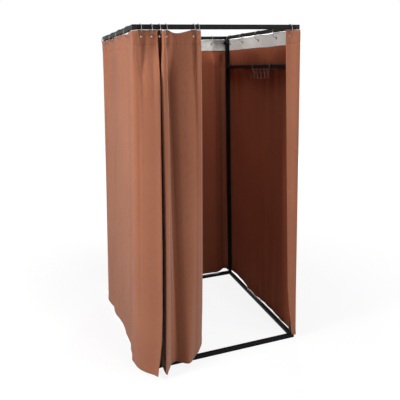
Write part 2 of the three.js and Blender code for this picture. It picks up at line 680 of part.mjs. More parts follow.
// A closed sheet over a surface, moved out of its middle by a shift along the surface's level normal
function sheetSolid(surface, last, fineness, bands, thickness, shift) {
  const columns = last * fineness;
  const points = [];
  for (const side of [shift + thickness / 2, shift - thickness / 2]) {
    for (let row = 0; row <= bands; row += 1) {
      for (let column = 0; column <= columns; column += 1) {
        const u = column / fineness;
        const ahead = surface(Math.min(u + MIDWAY / fineness, last), row);
        const behind = surface(Math.max(u - MIDWAY / fineness, 0), row);
        const along = ahead.sub(behind).setZ(0).normalize();
        const place = surface(u, row);
        points.push(place.x - along.y * side, place.y + along.x * side, place.z);
      }
    }
  }
  const stride = columns + 1;
  const layer = stride * (bands + 1);
  const index = [];
  const quad = (a, b, c, d) => index.push(a, b, c, a, c, d);
  for (let row = 0; row < bands; row += 1) {
    for (let column = 0; column < columns; column += 1) {
      const a = row * stride + column;
      quad(a, a + 1, a + 1 + stride, a + stride);
      quad(layer + a + 1 + stride, layer + a + 1, layer + a, layer + a + stride);
    }
  }
  for (let column = 0; column < columns; column += 1) {
    const low = bands * stride + column;
    quad(layer + column, layer + column + 1, column + 1, column);
    quad(low, low + 1, layer + low + 1, layer + low);
  }
  for (let row = 0; row < bands; row += 1) {
    const [a, b] = [row * stride, row * stride + columns];
    quad(a, a + stride, layer + a + stride, layer + a);
    quad(layer + b, layer + b + stride, b + stride, b);
  }
  const geometry = new THREE.BufferGeometry();
  geometry.setAttribute('position', new THREE.Float32BufferAttribute(points, 3));
  geometry.setIndex(index);
  return solidFrom(geometry);
}

// Where each eyelet sits: at a ring's place, facing across that ring's rail
function eyeletsOf(stations) {
  return stations.flatMap((s, index) => {
    if (s.ring === null) return [];
    const along = stations[index + 1].top.clone().sub(stations[index - 1].top).normalize();
    const across = new THREE.Vector3(Math.abs(along.y), Math.abs(along.x), 0).round();
    return [{ centre: new THREE.Vector3(s.top.x, s.top.y, EYELET_CENTRE), across }];
  });
}

function addCurtain(curtain) {
  const { name, stations, heights, inward, fineness } = curtain;
  const surface = clothSurface(curtain);
  const last = stations.length - 1;
  const eyelets = eyeletsOf(stations);
  const pins = (radius, length) => eyelets.map(({ centre, across }) => (
    pinSolid(radius, length, ROUND_SIDES, centre, across)
  ));
  const cloth = sheetSolid(surface, last, fineness, heights.length - 1, CLOTH_THICKNESS, 0);
  const rims = joined([cloth, ...pins(EYELET_RADIUS, EYELET_THICKNESS)]);
  const pierced = cutBy(rims, pins(EYELET_HOLE_RADIUS, EYELET_THICKNESS + CUT_OVERRUN));
  add(`${name}_curtain`, geometryFrom(pierced), outerCloth);
  const tapeShift = inward * (CLOTH_THICKNESS / 2 + FIT_GAP + TAPE_THICKNESS / 2);
  const tape = sheetSolid(surface, last, fineness, 1, TAPE_THICKNESS, tapeShift);
  const clear = pins(EYELET_RADIUS + FIT_GAP, 2 * EYELET_THICKNESS);
  add(`${name}_header_tape`, geometryFrom(cutBy(tape, clear)), whiteTape);
  return eyelets;
}

function addRings(name, eyelets) {
  eyelets.forEach(({ centre, across }, index) => {
    const ring = new THREE.TorusGeometry(RING_RADIUS, RING_WIRE_RADIUS, RING_SIDES, RING_STEPS);
    ring.rotateZ(QUARTER_TURN + Math.PI / RING_STEPS);
    const rail = new THREE.Vector3().crossVectors(across, Z_AXIS);
    const turn = new THREE.Matrix4().makeBasis(across, Z_AXIS, rail);
    ring.applyMatrix4(turn);
    ring.translate(centre.x, centre.y, RING_CENTRE);
    add(`${name}_ring_${index + 1}`, ring, chrome);
  });
}

// Where the right curtain passes the hanging bar, it lies outside the bar and the wire hung over it
function outsideBar(place) {
  const beside = place.z <= BAR_ROWS[0] && place.z >= BAR_ROWS[1] && place.y > TUBE;
  if (beside) place.x = Math.max(place.x, BAR_OUTSIDE);
  return place;
}

// Heights of a curtain's rows: its top edge, the foot of its header and then even drops to the hem
function rowHeights(drops) {
  const heights = [CLOTH_TOP];
  for (let i = 0; i <= drops; i += 1) heights.push(lerp(TAPE_BOTTOM, HEM_HEIGHT, i / drops));
  return heights;
}

const curtains = [
  { name: 'left', stations: leftStations(), drape: 1.1, inward: 1, sag: LEFT_SAG_SHARE },
  { name: 'front', stations: frontStations(), drape: 1.25, inward: 1, sag: FRONT_SAG_SHARE },
  { name: 'right', stations: rightStations(), drape: 1, inward: -1, sag: TAUT_SAG_SHARE, outside: outsideBar },
  { name: 'back', stations: backStations(), drape: 1, inward: -1, sag: TAUT_SAG_SHARE },
];
const meshing = {
  left: { heights: rowHeights(2), fineness: 1 },
  front: { heights: rowHeights(3), fineness: 2 },
  right: { heights: [CLOTH_TOP, TAPE_BOTTOM, ...BAR_ROWS, HEM_HEIGHT], fineness: 1 },
  back: { heights: rowHeights(1), fineness: 1 },
};
for (const curtain of curtains) {
  const eyelets = addCurtain({ ...curtain, ...meshing[curtain.name] });
  addRings(curtain.name, eyelets);
}

// The origin is the middle of the footprint, on the floor
room.updateMatrixWorld(true);
const footprint = new THREE.Box3().setFromObject(room).getCenter(new THREE.Vector3());
room.position.set(-footprint.x, -footprint.y, 0);

export default room;
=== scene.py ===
import json
import math

import bmesh
import bpy
import numpy as np
from mathutils import Matrix, Vector


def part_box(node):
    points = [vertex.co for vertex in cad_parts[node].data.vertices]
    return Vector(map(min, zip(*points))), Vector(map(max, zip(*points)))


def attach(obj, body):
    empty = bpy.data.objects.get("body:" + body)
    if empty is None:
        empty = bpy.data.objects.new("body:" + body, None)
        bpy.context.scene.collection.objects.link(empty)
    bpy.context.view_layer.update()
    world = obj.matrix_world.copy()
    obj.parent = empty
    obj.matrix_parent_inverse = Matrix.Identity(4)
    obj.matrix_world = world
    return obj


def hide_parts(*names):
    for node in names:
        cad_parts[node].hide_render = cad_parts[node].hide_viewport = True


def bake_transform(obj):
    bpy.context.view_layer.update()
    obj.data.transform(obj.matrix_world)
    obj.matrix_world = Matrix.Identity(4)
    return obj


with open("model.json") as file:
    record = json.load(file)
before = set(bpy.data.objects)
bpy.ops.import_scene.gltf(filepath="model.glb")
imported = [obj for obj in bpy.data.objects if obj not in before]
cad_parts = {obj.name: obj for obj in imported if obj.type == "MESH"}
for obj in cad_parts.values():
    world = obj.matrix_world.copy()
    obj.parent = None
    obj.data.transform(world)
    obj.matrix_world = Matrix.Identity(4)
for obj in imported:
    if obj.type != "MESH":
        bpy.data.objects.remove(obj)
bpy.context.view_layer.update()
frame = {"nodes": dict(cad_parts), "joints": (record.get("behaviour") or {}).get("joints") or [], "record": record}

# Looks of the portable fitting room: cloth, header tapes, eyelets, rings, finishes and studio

MM = 0.001
X, Y = 0, 1

# Sizes read from the frame
CORNER_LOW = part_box("corner_bottom_front_left")[0]
FAR_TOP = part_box("corner_top_back_right")[1]
ORIGIN = Vector((CORNER_LOW.x, CORNER_LOW.y, 0))
ROOM_WIDTH = FAR_TOP.x - ORIGIN.x
ROOM_DEPTH = FAR_TOP.y - ORIGIN.y
POST_LOW, POST_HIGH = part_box("post_front_left")
TUBE = POST_HIGH.x - POST_LOW.x
HALF_TUBE = TUBE / 2
BAR_LOW, BAR_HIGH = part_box("hanging_bar")
BAR_LINE = (BAR_LOW.z + BAR_HIGH.z) / 2
CLOTH_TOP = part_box("left_curtain")[1].z
HEM_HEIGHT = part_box("left_curtain")[0].z
TAPE_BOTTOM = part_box("left_header_tape")[0].z
RACK_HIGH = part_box("hook_rack")[1]
RING_LOW, RING_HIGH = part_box("front_ring_1")
RING_CENTRE = (RING_LOW.z + RING_HIGH.z) / 2

# Cloth: thickness, the tape's place inside it, the turned hem and the clearance round the posts
CLOTH_THICKNESS = 1.4 * MM
TAPE_THICKNESS = 0.9 * MM
TAPE_STEP = 1.3 * MM
TAPE_RISE = 2.2 * MM
HEM_FOLD = 26 * MM
HEM_STEP = 0.9 * MM
HEM_EASE = 1.5 * MM
POST_CLEARANCE = 4.5 * MM

# Hang: waves between a wall's rings, how far down a dip fades, where the header's line gives way to the
# shoulder's, and how wide a strip an edge's bulge takes along
WALL_WAVE = 9 * MM
WAVE_FULL_PITCH = 250 * MM
WAVE_SHARES = (0.3, 0.7)
DIP_FADE = 130 * MM
SHOULDER_TOP = TAPE_BOTTOM + 40 * MM
SHOULDER_LOW = TAPE_BOTTOM - 210 * MM
EDGE_WIDTH = 90 * MM

# The right curtain's way past the hanging bar
BAR_CLEAR = RACK_HIGH.x - ORIGIN.x + 1.5 * MM
BAR_TOP_ROW = BAR_HIGH.z + 7 * MM
BAR_LOW_ROW = BAR_LINE - 23 * MM

# Grid of a curtain: columns, close rows at the header and the hem, and wider rows between
COLUMN_PITCH = 4 * MM
HEADER_PITCH = 3.2 * MM
HEADER_REACH = 30 * MM
BODY_ROWS = 96
HEM_ROWS = 14
HEM_REACH = 12 * MM

# Numerics: curve samples for each station, the least gap and length to divide by, and the steps of an eased share
SAMPLES_A_STATION = 60
SMALLEST_GAP = 1e-4
TINY = 1e-9
EASE_SAMPLES = 2001

# Small relief: ripples, pinches under the rings, and the stitched grooves with their puckers. Ripple waves are in
# radians a metre, and fades run between two shares of the way down
RIPPLE = 0.8 * MM
RIPPLE_WAVES = (41, 17.3)
RIPPLE_SWAY = 1.3
RIPPLE_TURN = 3.1
RIPPLE_SHIFT = 2.0
RIPPLE_FADE = (0.05, 0.4)
PINCH_DEPTH = 4 * MM
PINCH_WIDTH = 13 * MM
PINCH_START = (0.015, 0.05)
PINCH_END = (0.08, 0.3)
GROOVE_WIDTH = 5 * MM
GROOVE_DEPTH = 1.3 * MM
PUCKER = 0.8 * MM
PUCKER_PITCH = 17 * MM
PUCKER_REACH = 4 * GROOVE_WIDTH

# Stitches
STITCH_LENGTH = 3.4 * MM
STITCH_PITCH = 5.2 * MM
STITCH_RADIUS = 0.45 * MM
STITCH_TAPER = (0.35, 1.0, 0.35)
STITCH_SHIFTS = (-0.5, 0, 0.5)
STITCH_SIDES = 4
STITCH_ABOVE = 5 * MM
TAPE_LINES = (TAPE_BOTTOM + STITCH_ABOVE, CLOTH_TOP - STITCH_ABOVE)
HEM_LINE = HEM_HEIGHT + HEM_FOLD - 4 * MM

# Eyelets and rings
EYELET_FLAT = 9.5 * MM
EYELET_HOLE = 3.2 * MM
EYELET_RADIUS = 9.5 * MM
EYELET_BELOW_RING = 33.4 * MM
EYELET_SIDES = 32
# Radius and half depth of the rolled rim, from the hole outward
EYELET_RIM = [
    (EYELET_HOLE, 2.2 * MM), (EYELET_HOLE + 0.6 * MM, 2.9 * MM), (EYELET_HOLE + 2.4 * MM, 3.0 * MM),
    (EYELET_RADIUS - 1.0 * MM, 2.3 * MM), (EYELET_RADIUS, 1.5 * MM),
]
CLOTH_HOLE = EYELET_HOLE + 2 * MM
RING_WIRE = 1.5 * MM
RING_RADIUS = (RING_HIGH.z - RING_LOW.z) / 2 - RING_WIRE
RING_STEPS = 72
RING_SIDES = 14

# How far each hem swings out past the frame's outer faces, and how far the front one reaches along the doorway
LEFT_FLARE = 99 * MM
FRONT_FLARE = 117 * MM
RIGHT_FLARE = 28 * MM
BACK_FLARE = 24 * MM
FRONT_HEM_REACH = 391 * MM

# How far a header hangs down between two rings, as a share of the way between them
SAG_SHARES = {"left": 0.022, "front": 0.11, "right": 0.016, "back": 0.016}
# Looser gaps: index, sag share, and the power that moves the lowest point toward the ring before
LOOSE_GAPS = {"left": [(4, 0.07, 0.6)]}

# The photograph's camera, from the frame's front left corner on the floor
CAMERA_PLACE = Vector((-510.0, -2516.2, 1788.6)) * MM
CAMERA_YAW = math.radians(18.839)
CAMERA_PITCH = math.radians(-12.330)
CAMERA_ROLL = math.radians(-1.473)
CAMERA_FOCAL_PX = 477.04
CAMERA_CENTRE_Y_PX = 169.0
PHOTO_PX = 400
SENSOR = 36.0


def ring_places(name, indices, axis):
    """Where some of a curtain's rings hang, along one axis, from the frame's front left corner."""
    boxes = [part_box(f"{name}_ring_{index}") for index in indices]
    return [((low + high) / 2 - ORIGIN)[axis] for low, high in boxes]


LEFT_RINGS = ring_places("left", range(1, 6), Y)
LEFT_WRAP = ring_places("left", (6, 7), X)
FRONT_RINGS = ring_places("front", range(1, 5), X)
RIGHT_RINGS = ring_places("right", range(1, 5), Y)
RIGHT_WRAP = ring_places("right", (5,), X)[0]
BACK_RINGS = ring_places("back", range(1, 5), X)


def add_camera():
    """The camera at the photograph's place, turned and shifted as fitted."""
    data = bpy.data.cameras.new("camera")
    camera = bpy.data.objects.new("camera", data)
    bpy.context.scene.collection.objects.link(camera)
    forward = Vector((math.sin(CAMERA_YAW) * math.cos(CAMERA_PITCH),
                      math.cos(CAMERA_YAW) * math.cos(CAMERA_PITCH),
                      math.sin(CAMERA_PITCH)))
    level = Vector((math.cos(CAMERA_YAW), -math.sin(CAMERA_YAW), 0))
    above = level.cross(forward)
    right = math.cos(CAMERA_ROLL) * level + math.sin(CAMERA_ROLL) * above
    up = -math.sin(CAMERA_ROLL) * level + math.cos(CAMERA_ROLL) * above
    turn = Matrix((right, up, -forward)).transposed().to_4x4()
    camera.matrix_world = Matrix.Translation(ORIGIN + CAMERA_PLACE) @ turn
    data.sensor_width = SENSOR
    data.lens = CAMERA_FOCAL_PX / PHOTO_PX * SENSOR
    data.shift_y = (CAMERA_CENTRE_Y_PX - PHOTO_PX / 2) / PHOTO_PX
    data.clip_end = 100
    bpy.context.scene.camera = camera


add_camera()


# Materials
# Woven cloth: threads, slubs (thicker places in a thread), slow clouds of tone, painted shade in hollows, creases
# and sheen.
# A wave texture turns 20 radians for each unit of its scale
WAVE_TURN = 20
THREAD_WANDER = 0.6
THREAD_SHADE = 0.16
THREAD_HEIGHT = 0.4 * MM
THREAD_BUMP = 0.35
SLUB_SCALE = 420.0
SLUB_STRETCH = 0.06
SLUB_BUMP = 0.25
CLOUD_SCALE = 2.2
CLOUD_SHARE = 0.45
CLOTH_TONES = (0.32, 0.62)
# Painted shade in hollows: how far ambient occlusion looks, the range it is read over, the darkest tone, and its
# samples
PAINTED_SHADE_REACH = 70 * MM
PAINTED_SHADE_AO_RANGE = (0.15, 0.85)
PAINTED_SHADE_DARKEST = 0.3
PAINTED_SHADE_SAMPLES = 8
CREASE_SCALE = 75.0
CREASE_STRETCH = 0.22
CREASE_HEIGHT = 6 * MM
CLOTH_SHINE = 0.25
SHEEN_ROUGHNESS = 0.45
SHEEN_TINT = (1.0, 0.86, 0.76, 1)
# Coatings and metals: scale of the slow changes, and how far tone and roughness go with them
COATING_SCALE = 9.0
COATING_TONES = (0.8, 1.25)
COATING_ROUGHNESS = (-0.06, 0.08)
PEEL_HEIGHT = 0.3 * MM
PEEL_DETAIL = 2.0
HAZE_SCALE = 120.0
HAZE_TONES = (0.88, 1.0)
HAZE_ROUGHNESS = (-0.05, 0.1)


def new_material(name):
    """A material with its nodes, their links and its shader."""
    material = bpy.data.materials.new(name)
    material.use_nodes = True
    tree = material.node_tree
    return material, tree.nodes, tree.links, tree.nodes["Principled BSDF"]


def set_inputs(node, values):
    """Sets a node's input values by their names."""
    for name, value in values.items():
        node.inputs[name].default_value = value


def add_node(nodes, kind, values=None, **settings):
    """A node with its settings, and then its input values: a setting can change which sockets it has."""
    node = nodes.new(kind)
    for name, setting in settings.items():
        setattr(node, name, setting)
    set_inputs(node, values or {})
    return node


def ramp_between(nodes, links, source, dark, light, low=0.3, high=0.7):
    """A value socket as a colour: dark up to a low value, light from a high one."""
    node = nodes.new("ShaderNodeValToRGB")
    for element, position, colour in zip(node.color_ramp.elements, (low, high), (dark, light)):
        element.position = position
        element.color = (*colour, 1)
    links.new(source, node.inputs["Fac"])
    return node.outputs["Color"]


def mapped(nodes, links, source, to_low, to_high, from_low=0.0, from_high=1.0):
    """A value socket taken from one range to another."""
    ranges = {"From Min": from_low, "From Max": from_high, "To Min": to_low, "To Max": to_high}
    node = add_node(nodes, "ShaderNodeMapRange", ranges)
    links.new(source, node.inputs["Value"])
    return node.outputs["Result"]


def noise(nodes, links, source, scale, detail=3.0):
    """A noise over a vector socket."""
    node = add_node(nodes, "ShaderNodeTexNoise", {"Scale": scale, "Detail": detail})
    links.new(source, node.inputs["Vector"])
    return node.outputs["Fac"]


def drawn_out(nodes, links, source, share):
    """A vector socket with its second axis scaled by a share, so that noise over it runs long that way."""
    node = add_node(nodes, "ShaderNodeMapping", {"Scale": (1.0, share, 1.0)})
    links.new(source, node.inputs["Vector"])
    return node.outputs["Vector"]


def mixed(nodes, links, first, second, factor, **settings):
    """Two sockets mixed by a factor."""
    node = add_node(nodes, "ShaderNodeMix", {"Factor": factor}, **settings)
    links.new(first, node.inputs["A"])
    links.new(second, node.inputs["B"])
    return node.outputs["Result"]


def bump(nodes, links, height, strength, distance, normal=None):
    """The normal of a bump over a height socket."""
    node = add_node(nodes, "ShaderNodeBump", {"Strength": strength, "Distance": distance})
    links.new(height, node.inputs["Height"])
    if normal:
        links.new(normal, node.inputs["Normal"])
    return node.outputs["Normal"]


def srgb(red, green, blue):
    """An 8-bit screen colour as the linear colour that a shader takes."""
    def linear(value):
        share = value / 255
        return share / 12.92 if share <= 0.04045 else ((share + 0.055) / 1.055) ** 2.4
    return tuple(linear(v) for v in (red, green, blue))


def woven_material(name, thread, shade, weave_pitch, rough, sheen, crease):
    """Plain woven cloth over metric UVs: threads, slubs, slow clouds of tone, creases, and painted shade that
    darkens the colour in hollows.
    """
    material, nodes, links, shader = new_material(name)
    place = add_node(nodes, "ShaderNodeUVMap", uv_map="cloth").outputs["UV"]
    weave = add_node(nodes, "ShaderNodeMath", operation="MULTIPLY")
    scale = 2 * math.pi / (WAVE_TURN * weave_pitch)
    thread_wave = {"Scale": scale, "Distortion": THREAD_WANDER, "Detail": 1.0}
    for index, direction in enumerate("XY"):
        wave = add_node(nodes, "ShaderNodeTexWave", thread_wave, bands_direction=direction)
        links.new(place, wave.inputs["Vector"])
        links.new(wave.outputs["Fac"], weave.inputs[index])
    threads = weave.outputs["Value"]
    slub = noise(nodes, links, drawn_out(nodes, links, place, SLUB_STRETCH), SLUB_SCALE)
    cloud = noise(nodes, links, nodes.new("ShaderNodeTexCoord").outputs["Object"], CLOUD_SCALE)
    tone = mixed(nodes, links, slub, cloud, CLOUD_SHARE, data_type="FLOAT")
    colour = ramp_between(nodes, links, tone, shade, thread, *CLOTH_TONES)
    # Painted shade: ambient occlusion darkens the base colour in folds, creases and hollows, and depth carries
    # that shade
    shade_occlusion = add_node(nodes, "ShaderNodeAmbientOcclusion", {"Distance": PAINTED_SHADE_REACH}, samples=PAINTED_SHADE_SAMPLES)
    depth = mapped(nodes, links, shade_occlusion.outputs["AO"], PAINTED_SHADE_DARKEST, 1.0, *PAINTED_SHADE_AO_RANGE)
    for darker, factor in ((threads, THREAD_SHADE), (depth, 1.0)):
        colour = mixed(nodes, links, colour, darker, factor, data_type="RGBA", blend_type="MULTIPLY")
    links.new(colour, shader.inputs["Base Color"])
    set_inputs(shader, {"Roughness": rough, "Specular IOR Level": CLOTH_SHINE, "Sheen Weight": sheen,
                        "Sheen Roughness": SHEEN_ROUGHNESS, "Sheen Tint": SHEEN_TINT})
    normal = bump(nodes, links, threads, THREAD_BUMP, THREAD_HEIGHT)
    normal = bump(nodes, links, slub, SLUB_BUMP, THREAD_HEIGHT, normal)
    if crease:
        wrinkle = noise(nodes, links, drawn_out(nodes, links, place, CREASE_STRETCH), CREASE_SCALE)
        normal = bump(nodes, links, wrinkle, crease, CREASE_HEIGHT, normal)
    links.new(normal, shader.inputs["Normal"])
    return material


def varied(nodes, links, shader, source, colour, rough, tones, roughness):
    """Lets a value socket move a shader's colour between two tones, and its roughness with it."""
    dark, light = (tuple(c * tone for c in colour) for tone in tones)
    links.new(ramp_between(nodes, links, source, dark, light), shader.inputs["Base Color"])
    links.new(mapped(nodes, links, source, *(rough + step for step in roughness)), shader.inputs["Roughness"])


def coated_material(name, colour, rough, shine, grain, strength):
    """A black coating or moulding: slow changes of tone and roughness, and a fine grain in the surface."""
    material, nodes, links, shader = new_material(name)
    place = nodes.new("ShaderNodeTexCoord").outputs["Object"]
    broad = noise(nodes, links, place, COATING_SCALE)
    varied(nodes, links, shader, broad, colour, rough, COATING_TONES, COATING_ROUGHNESS)
    set_inputs(shader, {"Specular IOR Level": shine})
    fine = noise(nodes, links, place, grain, PEEL_DETAIL)
    links.new(bump(nodes, links, fine, strength, PEEL_HEIGHT), shader.inputs["Normal"])
    return material


def plated_material(name, colour, rough):
    """Plated or pressed metal with a little haze."""
    material, nodes, links, shader = new_material(name)
    haze = noise(nodes, links, nodes.new("ShaderNodeTexCoord").outputs["Object"], HAZE_SCALE)
    varied(nodes, links, shader, haze, colour, rough, HAZE_TONES, HAZE_ROUGHNESS)
    set_inputs(shader, {"Metallic": 1.0})
    return material


# Each cloth: name, thread colour, shade colour, weave pitch, roughness, sheen, crease
OUTER_CLOTH, INNER_CLOTH_PAINTED_SHADE, INNER_TAPE, THREAD = (
    woven_material(name, srgb(*thread), srgb(*shade), pitch * MM, *finish)
    for name, thread, shade, pitch, *finish in (
        ("terracotta_cloth", (180, 115, 86), (167, 102, 75), 0.9, 0.86, 0.5, 0.12),
        # cloth_inside: the same cloth as the outside with painted shade, a deeper and redder colour, and almost no
        # sheen
        ("cloth_inside", (178, 101, 71), (165, 89, 61), 0.9, 0.9, 0.02, 0.12),
        ("white_tape", (238, 236, 232), (222, 220, 216), 1.1, 0.9, 0.05, 1.0),
        ("thread", (172, 110, 88), (150, 92, 72), 0.6, 0.8, 0.1, 0.0),
    )
)
# Each coating: name, colour, roughness, shine, grain scale, grain strength
BLACK_PAINT = coated_material("black_powder_coat", (0.008, 0.0077, 0.008), 0.46, 0.06, 900.0, 0.25)
BLACK_PLASTIC = coated_material("black_plastic", (0.007, 0.007, 0.0075), 0.4, 0.1, 1400.0, 0.15)
# Each metal: name, colour, roughness
CHROME = plated_material("chrome", (0.2, 0.2, 0.205), 0.36)
# The hook rack's chrome is tinted brown: a painted reflection of the terracotta cloth around it
RACK_CHROME_PAINTED_REFLECTION = plated_material("rack_chrome", (0.19, 0.115, 0.095), 0.42)
BRONZE = plated_material("dull_bronze", (0.33, 0.18, 0.125), 0.7)


# Meshes
def add_mesh(name, points, faces, material, smooth=True):
    """A mesh object from points and faces, in the frame's place."""
    mesh = bpy.data.meshes.new(name)
    mesh.from_pydata([tuple(p) for p in points], [], faces)
    mesh.materials.append(material)
    mesh.polygons.foreach_set("use_smooth", [smooth] * len(mesh.polygons))
    mesh.update()
    piece = bpy.data.objects.new(name, mesh)
    bpy.context.scene.collection.objects.link(piece)
    return piece


def spline(points, samples):
    """A centripetal Catmull-Rom curve through plan points, at places counted in points."""
    points = np.asarray(points, float)
    padded = np.vstack([2 * points[0] - points[1], points, 2 * points[-1] - points[-2]])
    index = np.clip(np.floor(samples).astype(int), 0, len(points) - 2)
    part = samples - index
    p0, p1, p2, p3 = (padded[index + k] for k in range(4))
    steps = ((p0, p1), (p1, p2), (p2, p3))
    gap = [np.maximum(np.linalg.norm(b - a, axis=1) ** 0.5, SMALLEST_GAP) for a, b in steps]
    t1 = gap[0]
    t2 = t1 + gap[1]
    t3 = t2 + gap[2]
    t = t1 + part * gap[1]

    def mix(a, b, ta, tb):
        share = ((t - ta) / (tb - ta))[:, None]
        return a * (1 - share) + b * share

    zero = np.zeros_like(t1)
    a1, a2, a3 = mix(p0, p1, zero, t1), mix(p1, p2, t1, t2), mix(p2, p3, t2, t3)
    b1, b2 = mix(a1, a2, zero, t2), mix(a2, a3, t1, t3)
    return mix(b1, b2, t1, t2)


def smooth_step(x, low, high):
    """0 below low, 1 above high, easing between."""
    share = np.clip((x - low) / (high - low), 0, 1)
    return share * share * (3 - 2 * share)


def level_normals(flow):
    """Unit normals, in plan, of directions along the cloth."""
    flow = flow / np.maximum(np.linalg.norm(flow, axis=-1, keepdims=True), TINY)
    return np.stack([flow[..., 1], -flow[..., 0]], axis=-1)


def read_shares(table, place):
    """A table of (place share, size share) rows, eased from one row to the next."""
    places = [row[0] for row in table]
    sizes = [row[1] for row in table]
    if place <= places[0]:
        return sizes[0]
    if place >= places[-1]:
        return sizes[-1]
    after = next(i for i, p in enumerate(places) if p >= place)
    part = (place - places[after - 1]) / (places[after] - places[after - 1])
    return sizes[after - 1] + (sizes[after] - sizes[after - 1]) * part * part * (3 - 2 * part)


# Curtain plans: each station is (header place, hem place, whether a ring hangs there) and, where the cloth
# leaves the header's line just under it, the shoulder place that it takes there

# Wall hems: share of the way along the room, share of the hem's flare
LEFT_HEM_SHARES = [
    (0.09, 0.84), (0.19, 0.72), (0.3, 0.61), (0.42, 0.63),
    (0.55, 0.72), (0.69, 0.88), (0.85, 1.0), (0.99, 0.85),
]
RIGHT_HEM_SHARES = [
    (0.0, 0.1), (0.1, 0.05), (0.2, 0.08), (0.4, 0.12), (0.44, -0.15), (0.495, 0.12),
    (0.56, -0.15), (0.65, -0.14), (0.73, 0.12), (0.85, 0.38), (0.925, 0.3), (1.0, 0.05),
]
BACK_HEM_SHARES = [
    (0.0, 0.7), (0.14, 0.1), (0.3, 0.8), (0.45, -0.2), (0.62, 0.6),
    (0.75, -0.3), (0.86, 0.45), (0.96, 0.95), (1.0, 0.85),
]
# The left curtain's hem round the post: shares of the left and the front flare
LEFT_WRAP_HEM_SHARES = [
    (0.84, -0.83), (0.823, -0.59), (0.786, -0.36), (0.758, -0.25), (0.707, -0.11), (0.646, 0.026),
    (0.586, 0.137), (0.481, 0.282), (0.426, 0.345), (0.36, 0.419), (0.218, 0.556), (0.07, 0.679),
    (0.002, 0.744), (-0.063, 0.82), (-0.152, 0.943), (-0.192, 1.0), (-0.232, 0.92),
]
# The front curtain's fixed edge: header place behind its line, hem place along and out
FRONT_EDGE_SHARES = (0.15, 0.12, -0.25)
# Between two front rings: header part and out, shoulder part and out, hem along and out
PLEAT_SHARES = [
    (0.24, 0.02, -0.14, 0.08, 0.178, 0.48), (0.12, 0.16, -0.26, 0.17, 0.178, 0.76),
    (0.42, 0.27, 0.12, 0.25, 0.19, 1), (0.72, 0.17, 0.5, 0.25, 0.225, 0.78),
    (0.7, 0.02, 0.66, 0.23, 0.275, 0.5),
]
VALLEY_SHARES = [
    (0.12, -0.1, -0.03, -0.38, 0.425, 0.12), (0.24, -0.18, 0.08, -0.43, 0.475, 0.28),
    (0.4, -0.15, 0.22, -0.33, 0.52, 0.42), (0.6, -0.125, 0.4, -0.2, 0.555, 0.49),
    (0.8, -0.11, 0.7, -0.12, 0.58, 0.51),
]
# The outer fold keeps the header's part and out at the shoulder
FOLD_SHARES = [
    (0.504, -0.06, 0.73, -0.02), (0.6, 0.0, 0.793, -0.239), (0.74, 0.06, 0.849, -0.513),
    (1.0, 0.1, 0.9, -0.752), (1.28, 0.07, 0.941, -0.983), (1.44, 0.01, 0.972, -1.256),
    (1.52, -0.026, 0.992, -1.521), (1.51, -0.077, 1.0, -1.658),
]
# Before, at and after each front ring: shoulder aside (in eyelet flats) and out, then hem along and out
FRONT_RING_SHOULDERS = [
    [(0, -0.107), (0, -0.107), (0, -0.07)],
    [(-0.6, 0.21), (-0.75, 0.16), (-1.35, -0.06)],
    [(0, -0.107), (0, -0.107), (0, -0.107)],
    [(0, -0.107), (0, -0.107), (0, -0.107)],
]
FRONT_RING_HEM_SHARES = [
    [(0.16, -0.2), (0.175, 0), (0.178, 0.25)],
    [(0.32, 0.22), (0.35, 0.14), (0.385, 0.09)],
    [(0.61, 0.46), (0.64, 0.37), (0.675, 0.22)],
    [(0.985, -1.709), (0.957, -1.59), (0.926, -1.419)],
]
# Lines that the cloth keeps outside the posts, and the middle lines of the rails
OUT_LEFT = -POST_CLEARANCE
OUT_FRONT = -POST_CLEARANCE
OUT_RIGHT = ROOM_WIDTH + POST_CLEARANCE
OUT_BACK = ROOM_DEPTH + POST_CLEARANCE
LEFT_LINE = FRONT_LINE = HALF_TUBE
RIGHT_LINE = ROOM_WIDTH - HALF_TUBE
BACK_LINE = ROOM_DEPTH - HALF_TUBE


def left_hem(y):
    """The left wall's hem place at a depth."""
    return (-LEFT_FLARE * read_shares(LEFT_HEM_SHARES, y / ROOM_DEPTH), y)


def right_hem(y):
    """The right wall's hem place at a depth."""
    return (ROOM_WIDTH + RIGHT_FLARE * read_shares(RIGHT_HEM_SHARES, y / ROOM_DEPTH), y)


def back_hem(x):
    """The back wall's hem place at a width."""
    return (x, ROOM_DEPTH + BACK_FLARE * read_shares(BACK_HEM_SHARES, x / ROOM_WIDTH))


def back_post_stations(outside, level, to_hem):
    """Stations of a side wall past its back post, down to a level beside the rail."""
    return [
        ((outside, ROOM_DEPTH - HALF_TUBE / 2), to_hem(ROOM_DEPTH), False),
        ((outside, ROOM_DEPTH - TUBE), to_hem(ROOM_DEPTH - TUBE), False),
        ((level, ROOM_DEPTH - 2 * TUBE), to_hem(ROOM_DEPTH - 2 * TUBE), False),
    ]


def rail_stations(places, to_top, to_hem):
    """Stations along one rail: flat at each ring, with a shallow wave between rings."""
    stations = []
    step = math.copysign(1, places[-1] - places[0])
    for index, place in enumerate(places):
        for side in (-1, 0, 1):
            at = place + side * step * EYELET_FLAT
            stations.append((to_top(at, 0), to_hem(at), side == 0))
        if index == len(places) - 1:
            break
        after = places[index + 1]
        wave = WALL_WAVE * min(abs(after - place) / WAVE_FULL_PITCH, 1) * (1 if index % 2 == 0 else -1)
        for share in WAVE_SHARES:
            at = place + (after - place) * share
            stations.append((to_top(at, wave), to_hem(at), False))
    return stations


